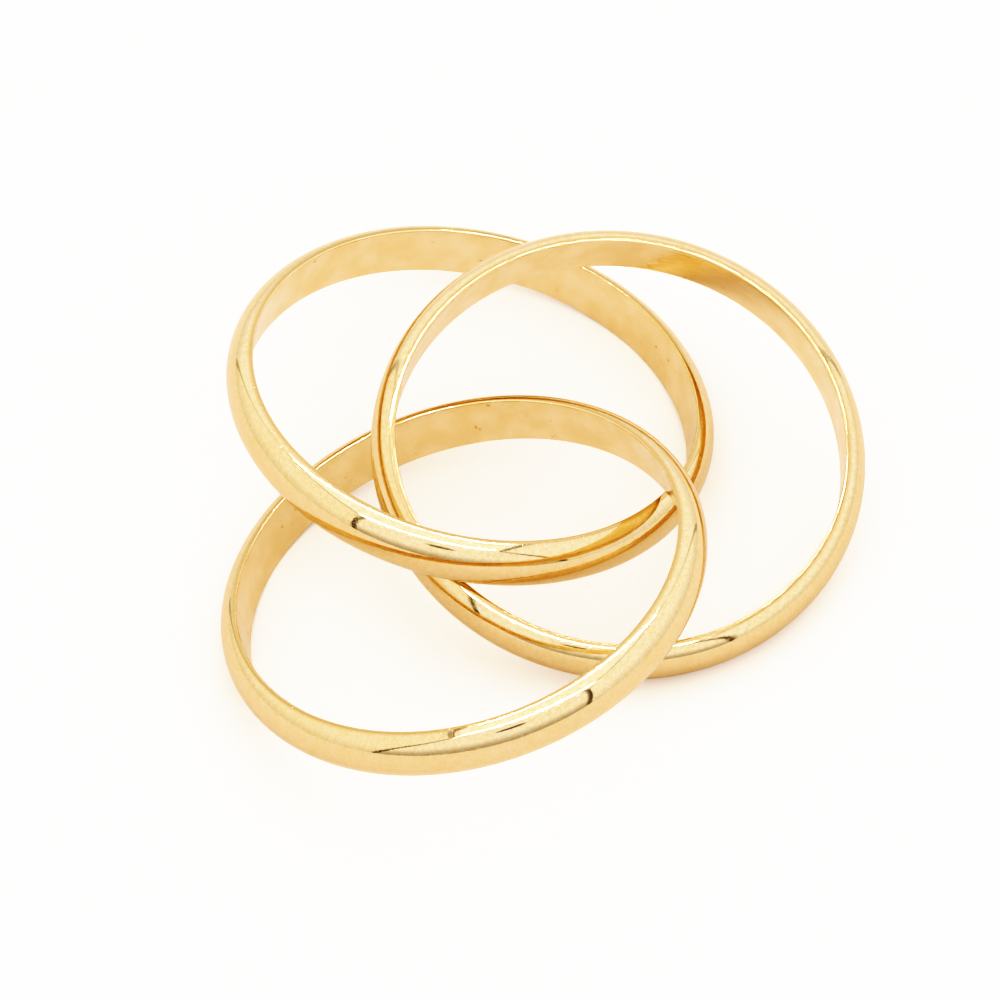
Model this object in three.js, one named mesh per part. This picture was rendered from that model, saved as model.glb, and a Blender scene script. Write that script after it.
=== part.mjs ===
// A rolling ring: plain gold bands, each linked through both of the others, lying in a loose heap.
// Millimetres, +Z up. The origin is on the surface it lies on, under the middle of the heap.
import * as THREE from 'three';

// One band, the same for all of them
const INNER_DIAMETER = 18.2;
const BAND_WIDTH = 2.25;
const BAND_THICKNESS = 0.9;
const EDGE_SOFTENING = 0.08;

// Facets round a band and across its dome. A quarter turn carries the facets onto themselves.
const TURN_STEPS = 72;
const DOME_STEPS = 10;

const GOLD = { color: 0xd9a441, metalness: 1.0, roughness: 0.18 };

const INNER_RADIUS = INNER_DIAMETER / 2;
const HALF_WIDTH = BAND_WIDTH / 2;

// How each band lies. x and y place its centre. Its axis leans from the vertical by lean degrees,
// towards heading degrees anticlockwise from +X, which is the side where the band meets the surface.
const BANDS = [
  { name: 'back_band', x: -2.975, y: 4.778, lean: 13.97, heading: 38.84 },
  { name: 'right_band', x: 2.985, y: 2.379, lean: 12.57, heading: -65.52 },
  { name: 'front_band', x: -3.236, y: -4.747, lean: 16.54, heading: 153.91 },
];

// Half-round section: a half ellipse over a straight bore, with both edges softened.
// Points are (radius, height along the axis), and the last one closes the loop.
function bandSection() {
  const domeEnd = Math.acos(EDGE_SOFTENING / BAND_THICKNESS);
  const boreEnd = HALF_WIDTH - EDGE_SOFTENING;
  const points = [new THREE.Vector2(INNER_RADIUS, -boreEnd)];
  for (let step = 0; step <= DOME_STEPS; step++) {
    const angle = domeEnd * (2 * step / DOME_STEPS - 1);
    const radius = INNER_RADIUS + BAND_THICKNESS * Math.cos(angle);
    points.push(new THREE.Vector2(radius, HALF_WIDTH * Math.sin(angle)));
  }
  points.push(new THREE.Vector2(INNER_RADIUS, boreEnd), points[0].clone());
  return points;
}

// Height of a leaning band's centre when its lowest point just meets the surface
function restingHeight(lean) {
  const drop = BAND_THICKNESS * Math.sin(lean);
  const spread = HALF_WIDTH * Math.cos(lean);
  return INNER_RADIUS * Math.sin(lean) + Math.hypot(drop, spread);
}

function makeBand({ name, x, y, lean, heading }) {
  const geometry = new THREE.LatheGeometry(bandSection(), TURN_STEPS);
  geometry.rotateX(Math.PI / 2);
  const band = new THREE.Mesh(geometry, new THREE.MeshStandardMaterial(GOLD));
  band.name = name;
  const leanAngle = THREE.MathUtils.degToRad(lean);
  band.position.set(x, y, restingHeight(leanAngle));
  band.rotation.set(0, leanAngle, THREE.MathUtils.degToRad(heading), 'ZYX');
  return band;
}

const rollingRing = new THREE.Group();
rollingRing.name = 'rolling_ring';
rollingRing.add(...BANDS.map(makeBand));

export default rollingRing;
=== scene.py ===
# %% [markdown]
# # A rolling ring in polished gold
# A rolling ring is made of plain bands that are linked through one another, so they roll over
# each other on the finger. Here the bands lie in a loose heap. The solid model gives each band's
# size and place. This lesson gives each one a fine mesh, a gold finish and a light tent to mirror.

# %% Load the frame
from math import cos, degrees, pi, radians, sin, tau

import bmesh
import bpy
import numpy as np
from mathutils import Matrix, Vector


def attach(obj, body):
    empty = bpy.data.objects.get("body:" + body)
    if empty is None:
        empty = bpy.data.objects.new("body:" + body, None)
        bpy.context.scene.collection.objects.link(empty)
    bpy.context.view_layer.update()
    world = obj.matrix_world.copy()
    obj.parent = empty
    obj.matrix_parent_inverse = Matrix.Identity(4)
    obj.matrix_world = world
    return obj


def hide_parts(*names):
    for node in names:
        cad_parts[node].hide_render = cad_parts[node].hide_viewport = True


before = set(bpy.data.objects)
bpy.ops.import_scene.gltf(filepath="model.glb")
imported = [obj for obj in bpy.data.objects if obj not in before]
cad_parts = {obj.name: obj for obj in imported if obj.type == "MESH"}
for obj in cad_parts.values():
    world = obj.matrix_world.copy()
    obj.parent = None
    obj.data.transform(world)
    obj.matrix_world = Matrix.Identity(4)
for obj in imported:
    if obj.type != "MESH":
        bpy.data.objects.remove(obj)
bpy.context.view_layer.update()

MM = 0.001


# %% [markdown]
# ## How each band lies
# The real bands come to rest at odd angles, each leaning over another. The angles could be typed
# in, but reading them from the solids keeps each new piece in its place. A band is a flat hoop, so
# its points spread widely in two directions and very little in the third. A singular value
# decomposition finds that third direction, which is the band's own axis. The mean of the points is
# its centre.

# %% Measure the bands
BANDS = ("back_band", "right_band", "front_band")


def lie_of(node):
    """A matrix that carries a hoop lying round +Z at the origin to where this band lies."""
    points = np.array([vertex.co for vertex in node.data.vertices])
    centre = points.mean(axis=0)
    axis = Vector(np.linalg.svd(points - centre, full_matrices=False)[2][2])
    axis = axis if axis.z > 0 else -axis
    level = Vector((0, 0, 1)).cross(axis).normalized()
    turn = Matrix((level, axis.cross(level), axis)).transposed()
    return Matrix.Translation(centre) @ turn.to_4x4()


lies = {name: lie_of(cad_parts[name]) for name in BANDS}
for name, lie in lies.items():
    centre = [round(v / MM, 2) for v in lie.translation]
    lean = degrees(lie.to_3x3().col[2].angle((0, 0, 1)))
    print(f"{name}: centre {centre} mm, lean {lean:.1f} degrees")

# %% [markdown]
# ## The half-round section
# Jewellers call this band D-shaped: a low dome outside and a straight bore inside. Its outline
# could be typed in point by point, but then every change of size means new points. Here it is half
# of a circle that is scaled to the dome's height and width. Real edges are never sharp, so each end
# of the dome is spun through a quarter turn, which rounds it into the bore and lets it catch a thin
# line of light. Working in millimetres keeps the numbers easy to read.

# %% Draw the section
INNER_RADIUS = 9.1
HALF_WIDTH = 1.125
THICKNESS = 0.9
EDGE_ROUNDING = 0.08
CIRCLE_POINTS = 112
EDGE_STEPS = 5
BORE_CUTS = 11
CUT_TOLERANCE = 1e-6


def open_ends(bm):
    """The two loose ends of a wire, the lower one first."""
    ends = [v for v in bm.verts if len(v.link_edges) == 1]
    return sorted(ends, key=lambda v: v.co.z)


def half_round_section():
    """The section as a closed wire that stands beside the Z axis, in millimetres."""
    bm = bmesh.new()
    bmesh.ops.create_circle(bm, radius=1, segments=CIRCLE_POINTS)
    bmesh.ops.rotate(bm, verts=bm.verts, matrix=Matrix.Rotation(pi / 2, 3, "X"))
    bmesh.ops.scale(bm, verts=bm.verts, vec=(THICKNESS, 1, HALF_WIDTH))
    bmesh.ops.bisect_plane(bm, geom=bm.verts[:] + bm.edges[:], dist=CUT_TOLERANCE,
                           clear_inner=True, plane_co=(EDGE_ROUNDING, 0, 0), plane_no=(1, 0, 0))
    rounded = []
    for end, side in zip(open_ends(bm), (-1, 1)):
        pivot = end.co - Vector((0, 0, side * EDGE_ROUNDING))
        arc = bmesh.ops.spin(bm, geom=[end], cent=pivot, axis=(0, -side, 0),
                             angle=pi / 2, steps=EDGE_STEPS)
        rounded += [v for v in arc["geom_last"] if isinstance(v, bmesh.types.BMVert)]
    bore = bmesh.ops.contextual_create(bm, geom=rounded)["edges"]
    bmesh.ops.subdivide_edges(bm, edges=bore, cuts=BORE_CUTS)
    bmesh.ops.translate(bm, verts=bm.verts, vec=(INNER_RADIUS, 0, 0))
    return bm


section = half_round_section()
points = np.array([v.co for v in section.verts])
low, high = points.min(axis=0).round(3), points.max(axis=0).round(3)
print("section:", len(points), "points, from", low, "to", high, "mm")
section.free()

# %% [markdown]
# ## Spinning the bands
# A real band is half-round wire bent into a hoop and soldered shut. A curve with a bevel could
# follow the same path, but the spin operator carries the drawn section straight round the axis and
# keeps every point of it. The last copy meets the first, so the spin merges them. The faces may
# come out facing inwards, so their normals are recalculated once the seam is closed. Each mesh is
# then moved to where its band lies, and the object itself stays at the origin.

# %% Spin each band
TURN_STEPS = 288
SEAM_TOLERANCE = 1e-5


def add_object(name, bm, *materials):
    """Turn a finished bmesh into an object of the scene."""
    mesh = bpy.data.meshes.new(name)
    bm.to_mesh(mesh)
    bm.free()
    for material in materials:
        mesh.materials.append(material)
    thing = bpy.data.objects.new(name, mesh)
    bpy.context.scene.collection.objects.link(thing)
    return thing


def spin_band(name):
    bm = half_round_section()
    bmesh.ops.spin(bm, geom=bm.verts[:] + bm.edges[:], cent=(0, 0, 0), axis=(0, 0, 1),
                   angle=tau, steps=TURN_STEPS, use_merge=True)
    bmesh.ops.remove_doubles(bm, verts=bm.verts, dist=SEAM_TOLERANCE)
    bmesh.ops.recalc_face_normals(bm, faces=bm.faces)
    for face in bm.faces:
        face.smooth = True
    bmesh.ops.transform(bm, matrix=lies[name] @ Matrix.Scale(MM, 4), verts=bm.verts)
    print(f"{name}: {len(bm.faces)} faces, {bm.calc_volume() / MM**3:.1f} cubic mm")
    return add_object(f"{name}_gold", bm)


pieces = {name: spin_band(name) for name in BANDS}

# %% [markdown]
# ## A small kit for shader nodes
# The finishes are node trees. They could be wired by hand in the shader editor, but these helpers
# add a node with its settings and inputs in one line, so each finish reads as a list of steps.

# %% Node helpers
def feed(tree, node, inputs):
    """Give each named input another node's output, or a plain value."""
    for key, value in inputs.items():
        if isinstance(value, bpy.types.NodeSocket):
            tree.links.new(value, node.inputs[key])
        else:
            node.inputs[key].default_value = value


def add_node(tree, kind, inputs=None, **settings):
    node = tree.nodes.new(kind)
    for key, value in settings.items():
        setattr(node, key, value)
    feed(tree, node, inputs or {})
    return node


def new_material(name):
    material = bpy.data.materials.new(name)
    material.use_nodes = True
    return material, material.node_tree


# %% [markdown]
# ## Sums, fades and blends
# Four steps come back in every finish: a sum, a smooth fade from one value to another, a blend of
# two colours, and a noise. A noise that is stretched more along one axis turns into fine lines.

# %% Node recipes
def calculate(tree, operation, first, second=0.0):
    return add_node(tree, "ShaderNodeMath", {0: first, 1: second}, operation=operation).outputs[0]


def fade(tree, value, low, high, to_low=0.0, to_high=1.0):
    node = add_node(tree, "ShaderNodeMapRange", interpolation_type="SMOOTHSTEP")
    feed(tree, node, {"Value": value, "From Min": low, "From Max": high,
                      "To Min": to_low, "To Max": to_high})
    return node.outputs["Result"]


def blend(tree, factor, first, second):
    node = add_node(tree, "ShaderNodeMix", {"Factor": factor}, data_type="RGBA")
    places = [i for i, socket in enumerate(node.inputs) if socket.type == "RGBA"]
    feed(tree, node, dict(zip(places, (first, second))))
    return next(socket for socket in node.outputs if socket.type == "RGBA")


def noise(tree, place, scale, detail, stretch=(1, 1, 1)):
    spot = add_node(tree, "ShaderNodeVectorMath", {0: place, 1: stretch}, operation="MULTIPLY")
    inputs = {"Vector": spot.outputs[0], "Scale": scale, "Detail": detail}
    return add_node(tree, "ShaderNodeTexNoise", inputs).outputs["Fac"]


# %% [markdown]
# ## Telling dome from bore
# The dome is polished and the bore is only satin. Along the rim between them a darker brown line
# is painted into the colour as shade, standing in for the dark reflection that lines the rim. Each
# could have its own material and faces, but then the joins would be hard. One material measures how
# far a point is from the band's axis instead, and fades between finishes. A Mapping node turns
# Object coordinates into the band's own millimetres, so the finish stays put when the band moves.

# %% Measure from the axis
BORE_FADE = (0.03, 0.07)
# The rim band is painted shade: a darker brown line along the rim that stands in for the dark
# reflection there.
RIM_SHADE_FADE = (0.09, 0.30)
RIM_SHADE_STRENGTH = 0.55
CREST_FADE = (0.35, THICKNESS - 0.05)


def band_place(tree, name):
    centre, turn, _ = lies[name].decompose()
    place = add_node(tree, "ShaderNodeTexCoord").outputs["Object"]
    inputs = {"Vector": place, "Location": centre, "Rotation": turn.to_euler(),
              "Scale": (MM, MM, MM)}
    return add_node(tree, "ShaderNodeMapping", inputs, vector_type="TEXTURE").outputs["Vector"]


def zones(tree, place):
    """Masks for the bore, the painted rim shade and the crest, by height over the bore."""
    flat = add_node(tree, "ShaderNodeVectorMath", {0: place, 1: (1, 1, 0)}, operation="MULTIPLY")
    length = add_node(tree, "ShaderNodeVectorMath", {0: flat.outputs[0]}, operation="LENGTH")

    def zone(heights, low, high):
        start, end = (INNER_RADIUS + height for height in heights)
        return fade(tree, length.outputs["Value"], start, end, low, high)

    # The rim mask carries the painted shade along the rim.
    return {"bore": zone(BORE_FADE, 1, 0), "rim": zone(RIM_SHADE_FADE, RIM_SHADE_STRENGTH, 0),
            "crest": zone(CREST_FADE, 0, 1)}


print("bore ends", BORE_FADE, "mm up, rim", RIM_SHADE_FADE, "mm, crest", CREST_FADE, "mm")

# %% [markdown]
# ## Marks of wear
# Worn gold carries clouds of tone, a fine grain, hairline scratches, lines round the bore and dull
# spots where a cloth can't reach. They could be painted as pictures, but noise needs no picture and
# has no seam. A scratch is drawn where a noise crosses its middle value, which is a thin line.

# %% Grow the marks
MARKS = {"clouds": (0.9, 3), "mottle": (4.5, 4), "grain": (11.0, 3), "waves": (0.45, 1),
         "lines": (1.0, 3, (1.1, 1.1, 26)), "hair": (1.0, 1, (2.5, 2.5, 9)), "spots": (2.6, 5)}
NOISE_MIDDLE = 0.5
HAIRLINE_WIDTH = 0.006
SPOT_RANGE = (0.67, 0.78)


def wear(tree, place):
    marks = {mark: noise(tree, place, *settings) for mark, settings in MARKS.items()}
    off_middle = calculate(tree, "SUBTRACT", marks["hair"], NOISE_MIDDLE)
    marks["hair"] = fade(tree, calculate(tree, "ABSOLUTE", off_middle), 0, HAIRLINE_WIDTH, 1, 0)
    marks["spots"] = fade(tree, marks["spots"], *SPOT_RANGE)
    return marks


print("marks of wear:", list(MARKS))

# %% [markdown]
# ## The colour of the gold
# The dome is a paler yellow where it is clean and a deeper one where it is rubbed. A single colour
# would look like plastic, so clouds, mottle and grain each push it a little way. The rim gets a
# painted shade, a darker brown that stands in for the dark reflection there, and the bore has its
# own pair of yellows with brownish spots.

# %% Tint the gold
POLISHED, POLISHED_DEEP = (0.87, 0.735, 0.56, 1), (0.80, 0.65, 0.42, 1)
SATIN, SATIN_DEEP = (0.97, 0.845, 0.65, 1), (0.92, 0.775, 0.54, 1)
DULL_SPOT = (0.70, 0.48, 0.24, 1)
# Painted shade: the brown that darkens the rim in place of its dark reflection.
RIM_SHADE = (0.55, 0.37, 0.18, 1)
SPECKLE_RANGE = (0.35, 0.65)
CLOUD_RANGE = (0.3, 0.7)
GRAIN_TINT, MOTTLE_TINT, CLOUD_TINT = 0.35, 0.3, 0.4


def gold_colour(tree, zone, mark):
    grain = fade(tree, mark["grain"], *SPECKLE_RANGE, 0, GRAIN_TINT)
    mottle = fade(tree, mark["mottle"], *SPECKLE_RANGE, 0, MOTTLE_TINT)
    clouds = calculate(tree, "MULTIPLY", mark["clouds"], CLOUD_TINT)
    shade = calculate(tree, "ADD", clouds, calculate(tree, "ADD", grain, mottle))
    # Painted shade: the dome is darkened towards RIM_SHADE along the rim.
    dome = blend(tree, zone["rim"], blend(tree, shade, POLISHED, POLISHED_DEEP), RIM_SHADE)
    satin = blend(tree, fade(tree, mark["clouds"], *CLOUD_RANGE), SATIN, SATIN_DEEP)
    return blend(tree, zone["bore"], dome, blend(tree, mark["spots"], satin, DULL_SPOT))


print("gold from", POLISHED[:3], "to", POLISHED_DEEP[:3])

# %% [markdown]
# ## How sharply it mirrors
# Roughness says how blurred a reflection is. The crest of the dome is rubbed brightest, its flanks
# are a little worn, scratches scatter light, and the satin bore blurs most. One value for all would
# be simpler, but it would lose the change from mirror to satin at the edge.

# %% Set the roughness
MOTTLE_RANGE = (0.3, 0.75)
LINE_RANGE = (0.3, 0.7)
FLANK_ROUGH, CREST_ROUGH = (0.04, 0.12), (0.025, 0.07)
SCRATCH_ROUGH = 0.08
SATIN_ROUGH = (0.13, 0.24)


def gold_roughness(tree, zone, mark):
    flank = fade(tree, mark["mottle"], *MOTTLE_RANGE, *FLANK_ROUGH)
    crest = fade(tree, mark["mottle"], *MOTTLE_RANGE, *CREST_ROUGH)
    scratch = calculate(tree, "MULTIPLY", mark["hair"], SCRATCH_ROUGH)
    dome = calculate(tree, "ADD", fade(tree, zone["crest"], 0, 1, flank, crest), scratch)
    satin = fade(tree, mark["lines"], *LINE_RANGE, *SATIN_ROUGH)
    return fade(tree, zone["bore"], 0, 1, dome, satin)


print("roughness: crest", CREST_ROUGH, "flank", FLANK_ROUGH, "bore", SATIN_ROUGH)

# %% [markdown]
# ## Waves and fine relief
# Hand finishing leaves a band very slightly wavy, so straight reflections wander. Moving the mesh
# would change its size, so two Bump nodes tilt the light instead. The first makes the waves. The
# second adds grain and scratches on the dome, and lines and pitted spots in the bore.

# %% Raise the relief
WAVE_STRENGTH, WAVE_HEIGHT = 0.6, 0.02 * MM
FINE_STRENGTH, FINE_HEIGHT = 0.5, 0.006 * MM
GRAIN_RELIEF, SCRATCH_DEPTH, SPOT_RELIEF = 0.25, 0.15, -0.8


def gold_relief(tree, zone, mark):
    waves = add_node(tree, "ShaderNodeBump", {
        "Height": mark["waves"], "Strength": WAVE_STRENGTH, "Distance": WAVE_HEIGHT})
    grain = calculate(tree, "MULTIPLY", mark["grain"], GRAIN_RELIEF)
    scratch = calculate(tree, "MULTIPLY", mark["hair"], SCRATCH_DEPTH)
    spots = calculate(tree, "MULTIPLY", mark["spots"], SPOT_RELIEF)
    fine = fade(tree, zone["bore"], 0, 1, calculate(tree, "SUBTRACT", grain, scratch),
                calculate(tree, "ADD", mark["lines"], spots))
    return add_node(tree, "ShaderNodeBump", {
        "Height": fine, "Strength": FINE_STRENGTH, "Distance": FINE_HEIGHT,
        "Normal": waves.outputs["Normal"]}).outputs["Normal"]


print(f"relief: waves {WAVE_HEIGHT / MM:.3f} mm, fine marks {FINE_HEIGHT / MM:.3f} mm")

# %% [markdown]
# ## Gold on every band
# The steps come together in one metal for each band, because each has its own axis to measure from.
# Every new piece takes the place of its solid and rides with it when it turns.

# %% Mix the gold
def gold_for(name):
    material, tree = new_material(f"polished_gold_{name}")
    place = band_place(tree, name)
    zone, mark = zones(tree, place), wear(tree, place)
    feed(tree, tree.nodes["Principled BSDF"], {
        "Metallic": 1.0, "Base Color": gold_colour(tree, zone, mark),
        "Roughness": gold_roughness(tree, zone, mark), "Normal": gold_relief(tree, zone, mark)})
    return material


for name, piece in pieces.items():
    piece.data.materials.append(gold_for(name))
    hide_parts(name)
    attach(piece, name)
print("gold on", [piece.name for piece in pieces.values()])

# %% [markdown]
# ## The floor
# A plain warm white sheet lies under the ring. The picture's ground is washed out to white. A
# brighter sheet would wash out the gold as well, so this one adds a faint glow for the camera
# alone, and the gold still mirrors the plain sheet. What is left of the shadows shows where each
# band touches.

# %% Lay the floor
FLOOR_SIZE = 4.0
SHEET_COLOUR = (0.97, 0.905, 0.87, 1)
SHEET_ROUGH, SHEET_SHINE = 0.7, 0.2
SHEET_GLOW, SHEET_GLOW_COLOUR = 0.22, (0.9, 0.97, 1, 1)


def stage_object(name, bm, *materials):
    thing = add_object(name, bm, *materials)
    return thing


def add_oblong(bm, width, length, centre=(0, 0, 0)):
    place = Matrix.Translation(centre) @ Matrix.Diagonal((width, length, 1, 1))
    bmesh.ops.create_grid(bm, x_segments=1, y_segments=1, size=1 / 2, matrix=place)


def pale_sheet():
    material, tree = new_material("pale_sheet")
    seen = add_node(tree, "ShaderNodeLightPath").outputs["Is Camera Ray"]
    feed(tree, tree.nodes["Principled BSDF"], {
        "Base Color": SHEET_COLOUR, "Roughness": SHEET_ROUGH, "Specular IOR Level": SHEET_SHINE,
        "Emission Color": SHEET_GLOW_COLOUR,
        "Emission Strength": calculate(tree, "MULTIPLY", seen, SHEET_GLOW)})
    return material


bm = bmesh.new()
add_oblong(bm, FLOOR_SIZE, FLOOR_SIZE)
floor = stage_object("floor", bm, pale_sheet())
print("floor:", floor.dimensions.x, "m square")

# %% [markdown]
# ## Glowing cloth
# Polished metal shows what stands round it, so small jewels are photographed in a white cloth tent.
# Area lamps could light it, but cloth that glows by itself gives the gold something broad to
# mirror. It is dimmer near the hem. The cloth is all round the ring, so bounced light finds it
# anyway, and leaving it out of the lamp sampling makes the render quicker.

# %% Weave the cloth
HEM_HEIGHT = 0.14
WHITE_CLOTH, PEACH_CLOTH = (1, 0.985, 0.96, 1), (1, 0.965, 0.89, 1)
GLOW = {"ceiling": (1.30, 1.30, WHITE_CLOTH), "wall": (0.96, 1.20, WHITE_CLOTH),
        "left": (0.98, 1.18, PEACH_CLOTH), "front": (0.64, 1.18, WHITE_CLOTH),
        "post": (0.28, 0.32, PEACH_CLOTH), "back_post": (0.55, 0.80, PEACH_CLOTH),
        "top_edge": (0.40, 0.40, PEACH_CLOTH)}


def glowing(name, low, high, colour=WHITE_CLOTH):
    """A material that glows from one strength at the floor to another above the hem."""
    material, tree = new_material(name)
    material.cycles.emission_sampling = "NONE"
    tree.nodes.remove(tree.nodes["Principled BSDF"])
    light = add_node(tree, "ShaderNodeEmission", {"Color": colour, "Strength": low})
    if low != high:
        place = add_node(tree, "ShaderNodeTexCoord").outputs["Object"]
        height = add_node(tree, "ShaderNodeSeparateXYZ", {0: place}).outputs["Z"]
        feed(tree, light, {"Strength": fade(tree, height, 0, HEM_HEIGHT, low, high)})
    feed(tree, tree.nodes["Material Output"], {"Surface": light.outputs[0]})
    return material


cloths = [glowing(f"tent_{part}", *glow) for part, glow in GLOW.items()]
print("cloths:", [cloth.name for cloth in cloths])

# %% [markdown]
# ## The light tent
# The tent is a cube with its bottom open. Its poles could be modelled, but insetting each face
# leaves a narrow frame round the cloth, and that is enough to mirror as thin dark lines along the
# domes. The camera sees through the cloth, but the gold still mirrors it.

# %% Pitch the tent
TENT_SIDE = 0.5
FRAME_WIDTH = 0.016
FACING = 0.5
NEAR_FLOOR, NEAR_TOP, NEAR_SIDE = 0.5, 1.5, 0.9


def hide_from_camera(thing):
    thing.visible_camera = False
    return thing


def tent_part(face, is_panel):
    """Name the part of the tent a face belongs to. Places are in half sides of the cube."""
    x, y, z = face.calc_center_median() / (TENT_SIDE / 2)
    facing = {"ceiling": face.normal.z > FACING, "front": face.normal.y < -FACING,
              "left": face.normal.x < -FACING, "wall": True}
    cloth = next(part for part, true in facing.items() if true)
    if is_panel or z < NEAR_FLOOR:
        return cloth
    if z < NEAR_TOP:
        return "post" if y < 0 else "back_post"
    return "top_edge" if abs(x) > NEAR_SIDE else cloth


bm = bmesh.new()
bmesh.ops.create_cube(bm, size=TENT_SIDE)
bmesh.ops.translate(bm, verts=bm.verts, vec=(0, 0, TENT_SIDE / 2))
underside = [face for face in bm.faces if face.normal.z < -FACING]
bmesh.ops.delete(bm, geom=underside, context="FACES")
panels = bm.faces[:]
bmesh.ops.inset_individual(bm, faces=panels, thickness=FRAME_WIDTH)
for face in bm.faces:
    face.material_index = list(GLOW).index(tent_part(face, face in panels))
tent = hide_from_camera(stage_object("light_tent", bm, *cloths))
print("light tent:", len(tent.data.polygons), "faces,", TENT_SIDE, "m cube")

# %% [markdown]
# ## Lamp strips
# Two strips of small lamps run along the top of the tent, in front and behind. The gold mirrors
# them as the white lines and dots on its edges. Point lamps would have no shape to mirror, so each
# lamp is a small bright oblong. The floor doesn't see them, so that the cloth alone lights it and
# its shadows stay soft.

# %% Hang the lamps
LAMPS = 22
LAMP_WIDTH, LAMP_LENGTH = 0.006, 0.018
LAMP_DROP = 0.004
STRIP_LENGTH = 0.42
STRIP_Y = 0.19
LAMP_GLOW = (90, 90)


def lamp_strip(name, y):
    bm = bmesh.new()
    for x in np.linspace(-STRIP_LENGTH / 2, STRIP_LENGTH / 2, LAMPS):
        add_oblong(bm, LAMP_WIDTH, LAMP_LENGTH, (x, y, TENT_SIDE - LAMP_DROP))
    bmesh.ops.reverse_faces(bm, faces=bm.faces)
    strip = hide_from_camera(stage_object(name, bm, glowing(name, *LAMP_GLOW)))
    strip.visible_diffuse = False
    return strip


strips = [lamp_strip("front_lamps", -STRIP_Y), lamp_strip("rear_lamps", STRIP_Y)]
print("lamps:", sum(len(strip.data.polygons) for strip in strips))

# %% [markdown]
# ## The viewing port
# The camera looks in through a port in the front cloth, which the gold shows as a small dark patch.
# A hole could be cut in the cloth, but a dim disc just inside it mirrors in the same way.

# %% Open the viewing port
PORT_GLOW = (0.4, 0.4)
PORT_HEIGHT = 0.24
PORT_RADIUS = 0.035
PORT_POINTS = 48
PORT_STANDOFF = 0.005
middle = Matrix.Translation((0, PORT_STANDOFF - TENT_SIDE / 2, PORT_HEIGHT))
bm = bmesh.new()
bmesh.ops.create_circle(bm, cap_ends=True, radius=PORT_RADIUS, segments=PORT_POINTS,
                        matrix=middle @ Matrix.Rotation(pi / 2, 4, "X"))
port = hide_from_camera(stage_object("viewing_port", bm, glowing("port_shade", *PORT_GLOW)))
print("viewing port:", PORT_HEIGHT, "m up,", round(port.dimensions.x, 3), "m wide")

# %% [markdown]
# ## The backdrop
# Beyond the floor's edge the camera sees plain white. A wall could stand there, but the world's
# background does the same with nothing to place.

# %% Paint the world
BACKDROP, BACKDROP_STRENGTH = (1, 0.995, 0.985, 1), 1.2
world = bpy.data.worlds.new("white_room")
world.use_nodes = True
feed(world.node_tree, world.node_tree.nodes["Background"],
     {"Color": BACKDROP, "Strength": BACKDROP_STRENGTH})
bpy.context.scene.world = world
print("world:", world.name, "at strength", BACKDROP_STRENGTH)

# %% [markdown]
# ## The camera
# The ring is seen from in front, a little over halfway up, through a long lens. The camera could be
# placed by eye, but these numbers come from fitting the bands' outlines. The lens is given in
# pixels of a picture that is a thousand pixels wide, and the distance in radii of the bore. The
# camera backs away from the point on the floor that the middle of the picture shows.

# %% Place the camera
PICTURE = 1000
SENSOR = 36.0
ELEVATION = radians(51.52)
RADII_AWAY = 58
PIXELS_PER_RADIUS = 225
AIM = Vector((-1.781, 2.439, 0)) * MM
NEAREST, FARTHEST = 0.01, 10
distance = RADII_AWAY * INNER_RADIUS * MM
back = Vector((0, -cos(ELEVATION), sin(ELEVATION)))
camera = bpy.data.objects.new("camera", bpy.data.cameras.new("camera"))
camera.data.sensor_width = SENSOR
camera.data.lens = SENSOR * PIXELS_PER_RADIUS * RADII_AWAY / PICTURE
camera.data.clip_start, camera.data.clip_end = NEAREST, FARTHEST
camera.location = AIM + back * distance
camera.rotation_euler = back.to_track_quat("Z", "Y").to_euler()
bpy.context.scene.collection.objects.link(camera)
bpy.context.scene.camera = camera
print(f"camera: {camera.data.lens:.0f} mm lens, {distance:.3f} m away")

# %% [markdown]
# ## Developing the picture
# The picture is bright and contrasty: whites wash out and the darker golds turn deep orange. The
# metal could be painted darker, but a tone curve does the same as developing a photograph. It works
# on the whole picture, so it is set in the scene's colour management and not in any material. Each
# pair below is a brightness in the scene and the brightness shown for it.

# %% Set the tone curve
TONES = ((0.0, 0.0), (0.15, 0.01), (0.22, 0.03), (0.3, 0.1), (0.4, 0.22), (0.55, 0.45),
         (0.74, 0.715), (1.0, 0.952), (1.3, 0.995), (1.7, 1.0))
WHITE = TONES[-1][0]
COMBINED = 3
look = bpy.context.scene.view_settings
look.view_transform = "Standard"
look.use_curve_mapping = True
curves = look.curve_mapping
curves.extend = "HORIZONTAL"
curves.white_level = (WHITE, WHITE, WHITE)
curve = curves.curves[COMBINED]
while len(curve.points) < len(TONES):
    curve.points.new(0.5, 0.5)
for point, (light, shown) in zip(curve.points, TONES):
    point.location = (light / WHITE, shown)
curves.update()
print("tone curve:", len(curve.points), "points")
